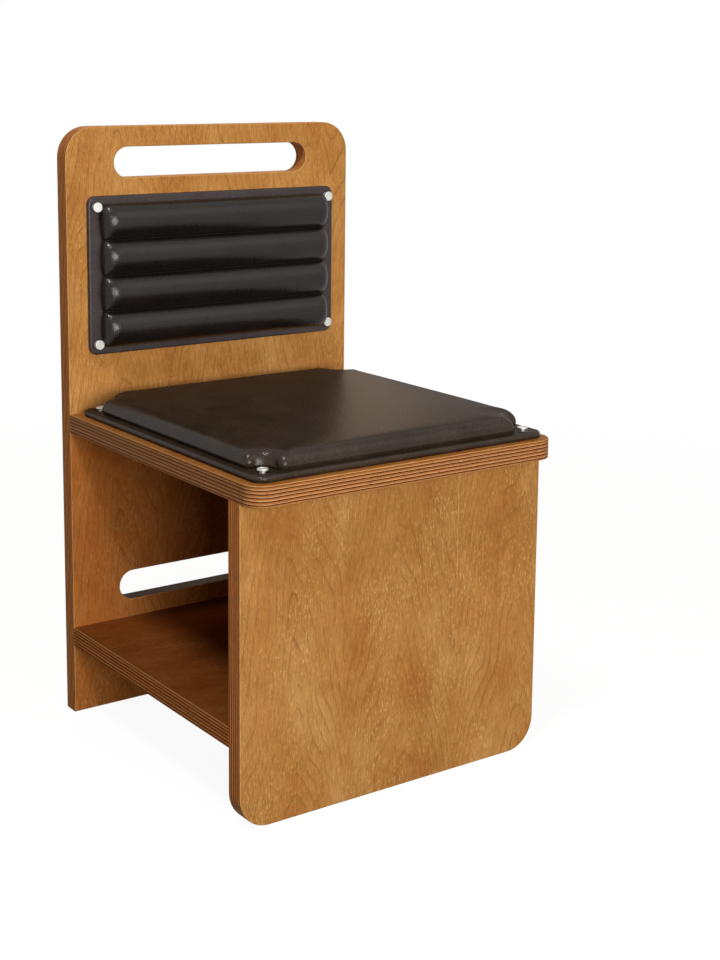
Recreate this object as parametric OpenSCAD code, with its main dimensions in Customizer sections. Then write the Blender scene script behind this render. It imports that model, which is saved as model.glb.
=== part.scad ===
// Restaurant chair: four plywood panels, doweled together, with two studded leather pads.
// Z is up and the sitter faces -Y. The origin lies on the floor, in the middle of the footprint.

/* [Chair] */
// Width of all four panels
chair_w = 440; // [400:1:520]
// Height of the back panel
chair_h = 780; // [740:1:880]
// Thickness of the boards
board_t = 25; // [22:1:30]
// Height of the seat panel's top face
seat_h = 408; // [380:1:450]
// Depth of the seat panel, in front of the back panel
seat_d = 446; // [420:1:500]
// Distance of the front panel behind the seat's front edge
front_setback = 30; // [10:1:60]
// Height of the shelf's top face
shelf_h = 118; // [80:1:150]

/* [Board edges] */
// Radius of the back panel's two top corners
back_corner_r = 40; // [10:1:60]
// Radius of the front panel's two bottom corners
front_corner_r = 40; // [10:1:60]
// Radius of the seat's two front corners
seat_corner_r = 25; // [10:1:40]
// Radius of the eased arrises
arris_r = 1.5; // [0.8:0.1:2.5]

/* [Slots] */
// Length of both slots, over their round ends
slot_l = 300; // [160:1:330]
// Width of both slots
slot_w = 40; // [30:1:46]
// Depth of the handle slot's centre line under the top of the back
handle_drop = 47; // [40:1:60]
// Height of the lower slot's centre line over the shelf
low_slot_rise = 44; // [35:1:60]

/* [Joinery] */
// Diameter of the dowels
dowel_d = 8; // [6:0.5:10]
// Length of the dowels
dowel_l = 34; // [28:1:40]
// Depth to which a dowel enters the face of a board
dowel_bite = 13; // [10:1:15]
// Distance of the outer dowels from the sides
dowel_margin = 40; // [32:1:60]
// Dowels in a row
dowel_count = 4; // [2:1:5]

/* [Seat pad] */
// Bare margin of the seat panel round the pad
seat_pad_margin = 10; // [4:1:20]
// Thickness of the seat pad's base board
seat_base_t = 5; // [3:0.5:6]
// Thickness of the seat pad's leather
seat_leather_t = 1.5; // [1:0.1:2]
// Radius of the seat pad's flange at its corners
seat_flange_r = 16; // [10:1:20]
// Radius of the flange's rolled edge
seat_roll_r = 3.5; // [1:0.5:3.5]
// Width of the flange that shows round the cushion
seat_rim_w = 9; // [5:1:14]
// Rise of the cushion's middle over the flange
seat_rise = 24; // [20:1:40]
// Rise of the cushion's shoulder over the flange
seat_shoulder_h = 18.5; // [14:0.5:19.5]
// Width of the rounded shoulder
seat_shoulder_w = 14; // [8:1:20]
// Height at which the cushion's sides are widest
seat_belly_h = 6; // [3:0.5:9]
// Distance by which the sides draw in at the seam
seat_draw = 2; // [1:0.5:4]
// Radius of the notches round the corner studs
notch_r = 18; // [14:1:24]
// Radius of the lobes beside each notch
lobe_r = 8; // [4:1:12]
// Distance of the seat studs from the flange's edges
seat_stud_inset = 20; // [17:1:26]
// Depth of the dimple under each seat stud
dimple_depth = 2; // [0.5:0.5:2.5]
// Radius of that dimple at its mouth
dimple_r = 11; // [8:1:13]

/* [Back pad] */
// Width of the back pad's flange
back_pad_w = 384; // [340:1:390]
// Bare height of the back panel between the seat and the pad
back_pad_gap = 76; // [50:1:110]
// Bare height of the back panel over the pad, round the handle slot
back_pad_drop = 89; // [84:1:120]
// Thickness of the back pad's base board
back_base_t = 4; // [3:0.5:6]
// Thickness of the back pad's leather
back_leather_t = 1.2; // [0.8:0.1:1.6]
// Radius of the back pad's flange at its corners
back_flange_r = 11; // [6:1:16]
// Radius of its rolled edge
back_roll_r = 2.5; // [1:0.5:2.5]
// Width of the flange beside the cushion
back_rim_side = 19; // [18:1:30]
// Width of the flange above and below the cushion
back_rim_end = 10; // [6:1:14]
// Channels across the cushion
channel_count = 4; // [2:1:6]
// Rise of the channels over the flange
back_rise = 22.6; // [16:0.2:30]
// Height of the valleys between the channels
valley_h = 10.5; // [7:0.5:12]
// Width of the rounded ends of the channels
channel_end_w = 15; // [8:1:24]
// Distance by which the valleys gather in at the sides
gather_w = 4; // [1:0.5:6]
// Distance by which the sides draw in at the seam
back_draw = 2; // [1:0.5:4]
// Distance of the back studs from the flange's sides
back_stud_inset = 11; // [9:0.5:14]
// Distance of the back studs from the flange's top and bottom
back_stud_drop = 14; // [10:0.5:18]

/* [Studs] */
// Diameter of the stud's cap
cap_d = 13; // [10:0.5:16]
// Thickness of the cap
cap_t = 2.4; // [1.6:0.1:3]
// Rounding of the cap's rim
cap_round = 0.7; // [0.3:0.1:0.8]
// Width of the raised lip round the cap
lip_w = 1.6; // [1.2:0.1:2.2]
// Depth of the dish inside the lip
dish_depth = 0.5; // [0.2:0.1:0.8]
// Diameter of the neck
neck_d = 7; // [6:0.1:7.4]
// Height of the seat studs' necks over the flange
seat_neck_h = 1.8; // [1:0.1:5]
// Height of the back studs' necks over the flange
back_neck_h = 4.4; // [1:0.1:6]
// Diameter of the threaded shank
shank_d = 5; // [4:0.5:5]
// Length of the threaded shank
shank_l = 12; // [8:1:14]
// Diameter of the threaded inserts
insert_d = 8; // [7:0.5:10]
// Length of the threaded inserts
insert_l = 15; // [14:1:17]
// Outer diameter of the eyelet's barrel
eyelet_d = 8.8; // [8.6:0.1:10]
// Thickness of the eyelet's rim
eyelet_rim_t = 0.4; // [0.2:0.1:0.6]
// Width of the eyelet's rim
eyelet_rim_w = 1.2; // [0.6:0.1:1.8]

/* [Fits] */
// Clearance round pieces that are pushed in
push_fit = 0.05; // [0.02:0.01:0.1]
// Clearance round soft pieces and in pockets
soft_fit = 0.3; // [0.2:0.1:0.5]
// Free depth behind the end of a dowel, a shank or an insert
end_gap = 0.5; // [0.2:0.1:1]

/* [Hidden] */
$fn = 64;
over = 1;
chamfer = 1;

back_y = (seat_d + board_t) / 2 - board_t;
front_y = back_y - seat_d + front_setback;
seat_mid_y = back_y - seat_d / 2;
shelf_d = back_y - front_y - board_t;
front_h = seat_h - board_t;
dowel_r = dowel_d / 2;
dowel_rest = dowel_l - dowel_bite;
dowel_xs = [for (k = [0:dowel_count - 1])
    (chair_w - 2 * dowel_margin) * (k / (dowel_count - 1) - 1 / 2)];

seat_pad_size = [chair_w - 2 * seat_pad_margin, seat_d - 2 * seat_pad_margin];
seat_flange_t = seat_base_t + 2 * seat_leather_t;
seat_half = seat_pad_size / 2 - [seat_rim_w, seat_rim_w];
seat_stud = seat_pad_size / 2 - [seat_stud_inset, seat_stud_inset];
seat_spots = [for (sx = [-1, 1], sy = [-1, 1]) [sx * seat_stud.x, sy * seat_stud.y]];
pinch_r = notch_r - seat_leather_t - seat_draw;

back_pad_h = chair_h - seat_h - back_pad_gap - back_pad_drop;
back_pad_z = seat_h + back_pad_gap + back_pad_h / 2;
back_flange_t = back_base_t + 2 * back_leather_t;
back_half = [back_pad_w / 2 - back_rim_side, back_pad_h / 2 - back_rim_end];
back_stud = [back_pad_w / 2 - back_stud_inset, back_pad_h / 2 - back_stud_drop];
back_spots = [for (sx = [-1, 1], sy = [-1, 1]) [sx * back_stud.x, sy * back_stud.y]];

wood = "#B8803F";
dark_leather = "#33281F";
black_leather = "#2B2A2C";
foam = "#E8DFC6";
base_ply = "#C9A66B";
beech = "#D9B98A";
steel = "#C9CBCE";
brass = "#B08D4C";

// Waste of a rounded corner at the origin, between both axes and the rounding arc
module round_waste(r) {
    difference() {
        translate([-over, -over]) square(r + over);
        translate([r, r]) circle(r);
    }
}

// Moves children to a plate's corner k, counted anticlockwise from the lower left,
// with +X running along the edge to the next corner
module at_corner(size, k) {
    side = [[-1, -1], [1, -1], [1, 1], [-1, 1]][k];
    translate([side.x * size.x / 2, side.y * size.y / 2]) rotate(90 * k) children();
}

// Waste of the arrises along both faces of a plate, on the edges that are eased
module arris_waste(size, t, radii, eased, r) {
    for (face = [0, 1], k = [0:3]) if (eased[k]) {
        next = (k + 1) % 4;
        start = radii[k] > 0 ? radii[k] : -over;
        stop = size[k % 2] - (radii[next] > 0 ? radii[next] : -over);
        translate([0, 0, face * t]) mirror([0, 0, face]) {
            at_corner(size, k) translate([start, 0, 0])
                rotate([90, 0, 90]) linear_extrude(stop - start) round_waste(r);
            if (radii[next] > 0) at_corner(size, next)
                translate([radii[next], radii[next]]) rotate(180) rotate_extrude(angle = 90)
                translate([radii[next], 0]) mirror([1, 0]) round_waste(r);
        }
    }
}

// A plate centred on the origin, with rounded corners and eased arrises
module plate(size, t, radii, eased, r) {
    difference() {
        linear_extrude(t) difference() {
            square(size, center = true);
            for (k = [0:3]) if (radii[k] > 0) at_corner(size, k) round_waste(radii[k]);
        }
        arris_waste(size, t, radii, eased, r);
    }
}

// Waste of a slot with round ends through a plate, with its arrises eased
module slot_waste(t) {
    r = slot_w / 2;
    run = slot_l / 2 - r;
    translate([0, 0, -over]) linear_extrude(t + 2 * over) {
        square([2 * run, slot_w], center = true);
        for (side = [-1, 1]) translate([side * run, 0]) circle(r);
    }
    for (face = [0, 1], turn = [0, 180])
        translate([0, 0, face * t]) mirror([0, 0, face]) rotate(turn) {
            translate([-run, r, 0]) rotate([90, 0, 90]) linear_extrude(2 * run) round_waste(arris_r);
            translate([run, 0, 0]) rotate(-90) rotate_extrude(angle = 180)
                translate([r, 0]) round_waste(arris_r);
        }
}

// Stands a plate up, with its top face towards the sitter's side at y
module stand(y, t, z) {
    translate([0, y + t, z]) rotate([90, 0, 0]) children();
}

// Blind bores that run back from a face at y, each at [x, z]
module bores_back(spots, y, r, depth) {
    for (p = spots) translate([p.x, y - over, p.y]) rotate([-90, 0, 0])
        cylinder(h = depth + over, r = r);
}

module bores_down(spots, z, r, depth) {
    for (p = spots) translate([p.x, p.y, z - depth]) cylinder(h = depth + over, r = r);
}

function row(z) = [for (x = dowel_xs) [x, z]];
seat_row_z = seat_h - board_t / 2;
shelf_row_z = shelf_h - board_t / 2;
seat_front_row = [for (x = dowel_xs) [x, front_y + board_t / 2]];
back_stud_places = [for (p = back_spots) [p.x, p.y + back_pad_z]];
seat_stud_places = [for (p = seat_spots) [p.x, p.y + seat_mid_y]];

module back_panel() {
    color(wood) difference() {
        stand(back_y, board_t, chair_h / 2) difference() {
            plate([chair_w, chair_h], board_t, [0, 0, back_corner_r, back_corner_r],
                [true, true, true, true], arris_r);
            translate([0, chair_h / 2 - handle_drop]) slot_waste(board_t);
            translate([0, shelf_h + low_slot_rise - chair_h / 2]) slot_waste(board_t);
        }
        bores_back(row(seat_row_z), back_y, dowel_r + push_fit, dowel_bite + end_gap);
        bores_back(row(shelf_row_z), back_y, dowel_r + push_fit, dowel_bite + end_gap);
        bores_back(back_stud_places, back_y, insert_d / 2 + push_fit, insert_l + end_gap);
    }
}

module seat_panel() {
    color(wood) difference() {
        translate([0, seat_mid_y, seat_h - board_t])
            plate([chair_w, seat_d], board_t, [seat_corner_r, seat_corner_r, 0, 0],
                [true, true, false, true], arris_r);
        bores_back(row(seat_row_z), back_y - dowel_rest - end_gap, dowel_r + push_fit,
            dowel_rest + end_gap + over);
        bores_down(seat_front_row, seat_h - board_t + dowel_bite + end_gap,
            dowel_r + push_fit, dowel_bite + end_gap + over);
        bores_down(seat_stud_places, seat_h, insert_d / 2 + push_fit, insert_l + end_gap);
    }
}

module front_panel() {
    color(wood) difference() {
        stand(front_y, board_t, front_h / 2)
            plate([chair_w, front_h], board_t, [front_corner_r, front_corner_r, 0, 0],
                [true, true, false, true], arris_r);
        bores_down(seat_front_row, front_h, dowel_r + push_fit, dowel_rest + end_gap);
        bores_back(row(shelf_row_z), front_y + board_t - dowel_bite - end_gap,
            dowel_r + push_fit, dowel_bite + end_gap + over);
    }
}

module shelf_panel() {
    color(wood) difference() {
        translate([0, back_y - shelf_d / 2, shelf_h - board_t])
            plate([chair_w, shelf_d], board_t, [0, 0, 0, 0],
                [false, true, false, true], arris_r);
        bores_back(row(shelf_row_z), back_y - dowel_rest - end_gap, dowel_r + push_fit,
            dowel_rest + end_gap + over);
        bores_back(row(shelf_row_z), front_y + board_t - over, dowel_r + push_fit,
            dowel_rest + end_gap + over);
    }
}

// A dowel that stands on the origin, chamfered at both ends
module dowel() {
    rotate_extrude() polygon([
        [0, 0], [dowel_r - chamfer, 0], [dowel_r, chamfer],
        [dowel_r, dowel_l - chamfer], [dowel_r - chamfer, dowel_l], [0, dowel_l]
    ]);
}

// A row of dowels that run back from y at height z
module dowels_back(y, z) {
    color(beech) for (x = dowel_xs) translate([x, y, z]) rotate([-90, 0, 0]) dowel();
}

module seat_back_dowels() {
    dowels_back(back_y - dowel_rest, seat_row_z);
}

module seat_front_dowels() {
    color(beech) for (p = seat_front_row) translate([p.x, p.y, front_h - dowel_rest]) dowel();
}

module shelf_back_dowels() {
    dowels_back(back_y - dowel_rest, shelf_row_z);
}

module shelf_front_dowels() {
    dowels_back(front_y + board_t - dowel_bite, shelf_row_z);
}

// Places a pad's pieces, drawn flat with their top up, on the seat panel or on the back panel
module on_seat() {
    translate([0, seat_mid_y, seat_h]) children();
}

module on_back() {
    translate([0, back_y, back_pad_z]) rotate([90, 0, 0]) children();
}

// Loops of the cushion's outline: a rectangle with a round notch about each corner stud
function arc(c, r, from, to, steps) =
    [for (k = [0:steps])
        let (turn = from + (to - from) * k / steps)
        c + r * [cos(turn), sin(turn)]];

// One quarter of the loop, from the +X axis to the +Y axis
function notched_quarter(half, stud, rn, rl) =
    let (
        reach = rn + rl,
        low = [half.x - rl, stud.y - sqrt(reach ^ 2 - (stud.x - half.x + rl) ^ 2)],
        high = [stud.x - sqrt(reach ^ 2 - (stud.y - half.y + rl) ^ 2), half.y - rl],
        low_turn = atan2(stud.y - low.y, stud.x - low.x),
        high_turn = atan2(stud.y - high.y, stud.x - high.x)
    )
    concat(
        [[half.x, 0], [half.x, low.y / 2]],
        arc(low, rl, 0, low_turn, lobe_steps),
        inner_points(arc(stud, rn, low_turn + half_turn, high_turn + half_turn, notch_steps)),
        arc(high, rl, high_turn, 90, lobe_steps),
        [[high.x / 2, half.y], [0, half.y]]
    );
lobe_steps = 3;
notch_steps = 4;
half_turn = 180;

function flip(points, sx, sy) = [for (p = points) [sx * p.x, sy * p.y]];
function reverse(points) = [for (k = [len(points) - 1:-1:0]) points[k]];
function inner_points(points) = [for (k = [1:len(points) - 2]) points[k]];
function drop_last(points) = [for (k = [0:len(points) - 2]) points[k]];
function notched_loop(half, stud, rn, rl) =
    let (q = notched_quarter(half, stud, rn, rl))
    concat(
        drop_last(q), drop_last(reverse(flip(q, -1, 1))),
        drop_last(flip(q, -1, -1)), drop_last(reverse(flip(q, 1, -1)))
    );

// Closes a skin, whose rim lies on the base, into a solid round a middle point on the base
module filled(points, skin, rim) {
    hub = len(points);
    n = len(rim);
    polyhedron(
        concat(points, [[0, 0, 0]]),
        concat(skin, [for (k = [0:n - 1]) [rim[k], rim[(k + 1) % n], hub]])
    );
}

// Closes two like skins, one inside the other, into a shell that is open at its base
module hollow(outer, inner, skin, rim) {
    m = len(outer);
    n = len(rim);
    polyhedron(
        concat(outer, inner),
        concat(
            skin,
            [for (f = skin) [f[0] + m, f[2] + m, f[1] + m]],
            [for (k = [0:n - 1]) each
                let (a = rim[k], b = rim[(k + 1) % n]) [[a, b, b + m], [a, b + m, a + m]]]
        )
    );
}

// The seat cushion's skin, shrunk all round by inset: stacked loops and the crown's middle point
shoulder_turns = [0, 30, 60, 90];
crown_shares = [0.65, 0.3];
seat_loop_count = 1 + len(shoulder_turns) + len(crown_shares);
function seat_loop(d) = notched_loop(seat_half - [d, d], seat_stud, notch_r + d, lobe_r);
function lifted(loop, h) = [for (p = loop) [p.x, p.y, h]];
function seat_points(inset) =
    let (
        last = seat_loop(inset + seat_shoulder_w),
        top = seat_rise - inset,
        shoulder = seat_shoulder_h - inset
    )
    concat(
        lifted(seat_loop(inset + seat_draw), 0),
        [for (turn = shoulder_turns) each lifted(
            seat_loop(inset + seat_shoulder_w * (1 - cos(turn))),
            seat_belly_h + (shoulder - seat_belly_h) * sin(turn))],
        [for (s = crown_shares) each lifted(s * last, top - (top - shoulder) * s ^ 2)],
        [[0, 0, top]]
    );
seat_n = len(seat_loop(0));
seat_rim = [for (k = [0:seat_n - 1]) k];
seat_skin = concat(
    [for (j = [0:seat_loop_count - 2], k = [0:seat_n - 1]) each
        let (a = j * seat_n + k, b = j * seat_n + (k + 1) % seat_n)
        [[a, a + seat_n, b], [b, a + seat_n, b + seat_n]]],
    [for (k = [0:seat_n - 1])
        let (a = (seat_loop_count - 1) * seat_n)
        [a + (k + 1) % seat_n, a + k, a + seat_n]]
);

// The back cushion's skin: a grid of columns across and rows up, shrunk by inset
channel_shares = [0, 0.05, 0.17, 0.33, 0.5, 0.67, 0.83, 0.95];
end_turns = [0, 45, 90];
middle_shares = [0.5];
end_power = 16;
swell_power = 2.4;
valley_share = valley_h / back_rise;
channel_pitch = 2 * back_half.y / channel_count;
function swell(s) = sqrt(1 - abs(2 * s - 1) ^ swell_power);

// Each row is [place up the pad, swell of its channel, whether it lies on the base]
back_rows = concat(
    [[back_draw - back_half.y, 0, true]],
    [for (k = [0:channel_count - 1], s = channel_shares)
        [(k + s) * channel_pitch - back_half.y, swell(s), false]],
    [[back_half.y, 0, false], [back_half.y - back_draw, 0, true]]
);

// Each column is [side, distance in from the side, share of the full height, whether on the base]
left_columns = concat(
    [[-1, back_draw, valley_share, true]],
    [for (turn = end_turns) [-1, channel_end_w * (1 - cos(turn)),
        valley_share + (1 - valley_share) * sin(turn), false]],
    [for (s = middle_shares) [-1, (1 - s) * back_half.x, 1, false]]
);
back_columns = concat(
    left_columns, [[0, back_half.x, 1, false]],
    [for (c = reverse(left_columns)) [-c[0], c[1], c[2], c[3]]]
);
function back_point(c, r, inset) =
    let (
        end = (abs(r[0]) / back_half.y) ^ end_power,
        gather = gather_w * (1 - r[1]) * (1 - c[1] / back_half.x),
        rise = valley_share + (1 - valley_share) * r[1]
    )
    [
        c[0] * (back_half.x - c[1] - inset - gather),
        r[0] - sign(r[0]) * end * (inset + gather_w * (1 - c[2])),
        c[3] || r[2] ? 0 : (back_rise - inset) * c[2] * rise
    ];
function back_points(inset) = [for (c = back_columns, r = back_rows) back_point(c, r, inset)];
nc = len(back_columns);
nr = len(back_rows);
back_rim = concat(
    [for (i = [0:nc - 1]) i * nr], [for (j = [1:nr - 1]) (nc - 1) * nr + j],
    [for (i = [nc - 2:-1:0]) i * nr + nr - 1], [for (j = [nr - 2:-1:1]) j]
);
back_skin = [for (i = [0:nc - 2], j = [0:nr - 2]) each
    let (a = i * nr + j) [[a, a + 1, a + nr], [a + 1, a + nr + 1, a + nr]]];

// Base board of the seat pad, cut back round the corner studs, or the pocket that holds it
module seat_base_outline(clear) {
    difference() {
        square(2 * (seat_half - [seat_draw, seat_draw] + [clear, clear]), center = true);
        for (p = seat_spots) translate(p) circle(pinch_r - clear);
    }
}

module stud_holes(spots, t) {
    for (p = spots) translate([p.x, p.y, -over])
        cylinder(h = t + 2 * over, r = eyelet_d / 2 + push_fit);
}

module seat_pad_flange() {
    color(dark_leather) on_seat() difference() {
        plate(seat_pad_size, seat_flange_t, [for (k = [0:3]) seat_flange_r],
            [true, true, true, true], seat_roll_r);
        translate([0, 0, seat_leather_t]) linear_extrude(seat_base_t) seat_base_outline(soft_fit);
        stud_holes(seat_spots, seat_flange_t);
        for (p = seat_spots) translate([p.x, p.y, seat_flange_t - dimple_depth])
            cylinder(h = dimple_depth + over, r1 = eyelet_r + soft_fit,
                r2 = eyelet_r + soft_fit + (dimple_r - eyelet_r) * (dimple_depth + over) / dimple_depth);
    }
}
eyelet_r = eyelet_d / 2 + eyelet_rim_w;

module seat_pad_base() {
    color(base_ply) on_seat() translate([0, 0, seat_leather_t])
        linear_extrude(seat_base_t) seat_base_outline(0);
}

module seat_pad_foam() {
    color(foam) on_seat() translate([0, 0, seat_flange_t])
        filled(seat_points(seat_leather_t + soft_fit), seat_skin, seat_rim);
}

module seat_pad_cover() {
    color(dark_leather) on_seat() translate([0, 0, seat_flange_t])
        hollow(seat_points(0), seat_points(seat_leather_t), seat_skin, seat_rim);
}

// An eyelet that lines a stud hole of height t, with its rim on top
module eyelet(t) {
    difference() {
        union() {
            cylinder(h = t, d = eyelet_d);
            translate([0, 0, t]) cylinder(h = eyelet_rim_t, r = eyelet_r);
        }
        translate([0, 0, -over])
            cylinder(h = t + eyelet_rim_t + 2 * over, r = neck_d / 2 + push_fit);
    }
}

// A stud whose shank goes down from the origin and whose neck has height neck_h
module stud(neck_h) {
    cap_r = cap_d / 2;
    rotate_extrude() difference() {
        union() {
            translate([0, -shank_l]) square([shank_d / 2, shank_l]);
            square([neck_d / 2, neck_h + cap_t / 2]);
            translate([0, neck_h]) square([cap_r, cap_t]);
        }
        translate([cap_r, neck_h]) mirror([1, 0]) round_waste(cap_round);
        translate([cap_r, neck_h + cap_t]) mirror([1, 0]) mirror([0, 1]) round_waste(cap_round);
        translate([-over, neck_h + cap_t - dish_depth]) square([cap_r - lip_w + over, dish_depth + over]);
    }
}

// A threaded insert that hangs down from the origin
module insert() {
    translate([0, 0, -insert_l]) difference() {
        cylinder(h = insert_l, d = insert_d);
        translate([0, 0, insert_l - shank_l - end_gap])
            cylinder(h = shank_l + end_gap + over, r = shank_d / 2 + push_fit);
    }
}

module seat_pad_eyelets() {
    color(steel) on_seat() for (p = seat_spots) translate(p) eyelet(seat_flange_t - dimple_depth);
}

module seat_studs() {
    color(steel) on_seat() for (p = seat_spots) translate(p) stud(seat_flange_t + seat_neck_h);
}

module seat_inserts() {
    color(brass) on_seat() for (p = seat_spots) translate(p) insert();
}

module back_pad_flange() {
    color(black_leather) on_back() difference() {
        plate([back_pad_w, back_pad_h], back_flange_t, [for (k = [0:3]) back_flange_r],
            [true, true, true, true], back_roll_r);
        translate([0, 0, back_leather_t]) linear_extrude(back_base_t) back_base_outline(soft_fit);
        stud_holes(back_spots, back_flange_t);
    }
}

// Base board of the back pad, or the pocket that holds it
module back_base_outline(clear) {
    square(2 * (back_half - [back_draw, back_draw] + [clear, clear]), center = true);
}

module back_pad_base() {
    color(base_ply) on_back() translate([0, 0, back_leather_t])
        linear_extrude(back_base_t) back_base_outline(0);
}

module back_pad_foam() {
    color(foam) on_back() translate([0, 0, back_flange_t])
        filled(back_points(back_leather_t + soft_fit), back_skin, back_rim);
}

module back_pad_cover() {
    color(black_leather) on_back() translate([0, 0, back_flange_t])
        hollow(back_points(0), back_points(back_leather_t), back_skin, back_rim);
}

module back_pad_eyelets() {
    color(steel) on_back() for (p = back_spots) translate(p) eyelet(back_flange_t);
}

module back_studs() {
    color(steel) on_back() for (p = back_spots) translate(p) stud(back_flange_t + back_neck_h);
}

module back_inserts() {
    color(brass) on_back() for (p = back_spots) translate(p) insert();
}

back_panel();
seat_panel();
front_panel();
shelf_panel();
seat_back_dowels();
seat_front_dowels();
shelf_back_dowels();
shelf_front_dowels();
seat_pad_flange();
seat_pad_base();
seat_pad_foam();
seat_pad_cover();
seat_pad_eyelets();
seat_studs();
seat_inserts();
back_pad_flange();
back_pad_base();
back_pad_foam();
back_pad_cover();
back_pad_eyelets();
back_studs();
back_inserts();
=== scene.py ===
"""Restaurant chair: honey-stained birch plywood with two studded leather pads.

The chair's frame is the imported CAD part. This script gives the boards, dowels and studs their
finishes, makes the four leather pieces, and sets the camera, the floor and the light.
"""

import math

import bmesh
import bpy
from mathutils import Matrix, Vector


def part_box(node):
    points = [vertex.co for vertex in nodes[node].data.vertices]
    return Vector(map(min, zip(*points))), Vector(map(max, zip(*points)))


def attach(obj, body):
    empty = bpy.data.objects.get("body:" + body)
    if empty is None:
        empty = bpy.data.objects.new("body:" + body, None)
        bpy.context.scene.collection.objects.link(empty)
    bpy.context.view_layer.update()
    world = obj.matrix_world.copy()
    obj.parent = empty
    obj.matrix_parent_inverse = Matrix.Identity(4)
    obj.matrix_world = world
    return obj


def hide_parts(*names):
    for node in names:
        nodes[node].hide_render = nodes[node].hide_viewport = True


MM = 0.001

# The photograph's viewpoint, solved from the boards' edges: metres, degrees about each axis in
# turn, the lens in mm, and shifts as shares of the picture's height
CAMERA_PLACE = (-1.11929, -1.64281, 0.85240)
CAMERA_TURNS = (("Z", -33.858), ("X", 80.891), ("Z", 0.198))
CAMERA_LENS = 60.02
CAMERA_SHIFT = (0.07329, -0.16)

# Name, azimuth and elevation in degrees, distance and width in metres, power in watts, colour,
# and height as a multiple of the width
LAMPS = (
    ("front_light", -16.5, 8, 3.1, 1.5, 61, "#FFFFFF", 1),
    ("low_light", 0, 6, 3.1, 0.6, 24, "#FFFFFF", 1),
    ("side_light", -54, 60, 3.0, 0.32, 40, "#FFFFFF", 2),
    ("pad_light", 31, 32, 4.0, 2.0, 10, "#FFFFFF", 1),
    ("back_light", 155, 22, 4.0, 2.2, 42, "#FFD0A0", 1),
)
LAMPS_AIM = (0, 0, 0.42)
SKY = 0.045

# The floor is 40 m wide, glows near the chair, and is plain white past a few steps
FLOOR_SIZE, FLOOR_DROP = 40, 0.2 * MM
FLOOR_NEAR, FLOOR_FAR = 0.8, 2.4
FLOOR_GLOW = 0.94

# How a board's pattern is turned: standing with its grain upright, or lying with its grain from
# side to side. A board with no painted redder shade has it nowhere, far below the floor
STANDING = (math.radians(-90), 0, 0)
LYING = (0, 0, math.radians(-90))
NOWHERE = -999

# The two ways that a pad's length runs: along Y on the seat, and along Z on the back
ON_SEAT, ON_BACK = 1, 2
STUD_HEAD_R = 6.5 * MM
STUD_HOLE_R = 4.5 * MM

FILLING_STEPS = 20

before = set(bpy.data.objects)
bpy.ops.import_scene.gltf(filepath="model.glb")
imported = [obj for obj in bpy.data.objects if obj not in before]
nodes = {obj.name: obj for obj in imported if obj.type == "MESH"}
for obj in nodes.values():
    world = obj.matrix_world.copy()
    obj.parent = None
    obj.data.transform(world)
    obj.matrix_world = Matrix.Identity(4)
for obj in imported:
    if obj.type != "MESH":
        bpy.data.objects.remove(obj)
bpy.ops.object.select_all(action="DESELECT")
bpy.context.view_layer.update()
bpy.context.scene.view_settings.view_transform = "Standard"


# Shader trees

def linear(hex_colour):
    """sRGB hex value to the linear colour that a shader socket takes."""
    channels = [int(hex_colour[k:k + 2], 16) / 255 for k in (1, 3, 5)]
    return [c / 12.92 if c <= 0.04045 else ((c + 0.055) / 1.055) ** 2.4 for c in channels] + [1]


def add_node(tree, kind, inputs=None, **settings):
    """Adds a node. An input is a value, a node (its first output) or (node, output name)."""
    node = tree.nodes.new(kind)
    for name, value in settings.items():
        setattr(node, name, value)
    for socket, value in (inputs or {}).items():
        if isinstance(value, bpy.types.Node):
            value = (value, 0)
        if isinstance(value, tuple) and isinstance(value[0], bpy.types.Node):
            tree.links.new(value[0].outputs[value[1]], node.inputs[socket])
        elif isinstance(value, str) and value.startswith("#"):
            node.inputs[socket].default_value = linear(value)
        else:
            node.inputs[socket].default_value = value
    return node


def set_ramp(node, stops):
    """Gives a colour ramp its stops, each (place, grey value or hex colour)."""
    ramp = node.color_ramp
    while len(ramp.elements) < len(stops):
        ramp.elements.new(1)
    for element, (place, colour) in zip(ramp.elements, stops):
        element.position = place
        element.color = linear(colour) if isinstance(colour, str) else (colour,) * 3 + (1,)
    return node


def new_material(name):
    material = bpy.data.materials.new(name)
    material.use_nodes = True
    material.node_tree.nodes.clear()
    return material, material.node_tree


def seen_rays(tree):
    """1 for the rays that show a background: from the camera, and through gloss and glass."""
    path = add_node(tree, "ShaderNodeLightPath")
    gloss = add_node(tree, "ShaderNodeMath", {
        0: (path, "Is Camera Ray"), 1: (path, "Is Glossy Ray")}, operation="MAXIMUM")
    return add_node(tree, "ShaderNodeMath", {
        0: gloss, 1: (path, "Is Transmission Ray")}, operation="MAXIMUM")


# Camera, floor and light

def add_camera():
    """In front of the chair's left side as one sees it, a little above the seat."""
    bpy.ops.object.camera_add()
    camera = bpy.context.object
    camera.name = "camera"
    place = Matrix.Translation(CAMERA_PLACE)
    for axis, turn in CAMERA_TURNS:
        place = place @ Matrix.Rotation(math.radians(turn), 4, axis)
    camera.matrix_world = place
    camera.data.sensor_fit = "VERTICAL"
    camera.data.sensor_height = 36
    camera.data.lens = CAMERA_LENS
    camera.data.shift_x, camera.data.shift_y = CAMERA_SHIFT
    camera.data.clip_start = 0.05
    camera.data.clip_end = 60
    bpy.context.scene.camera = camera


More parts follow.
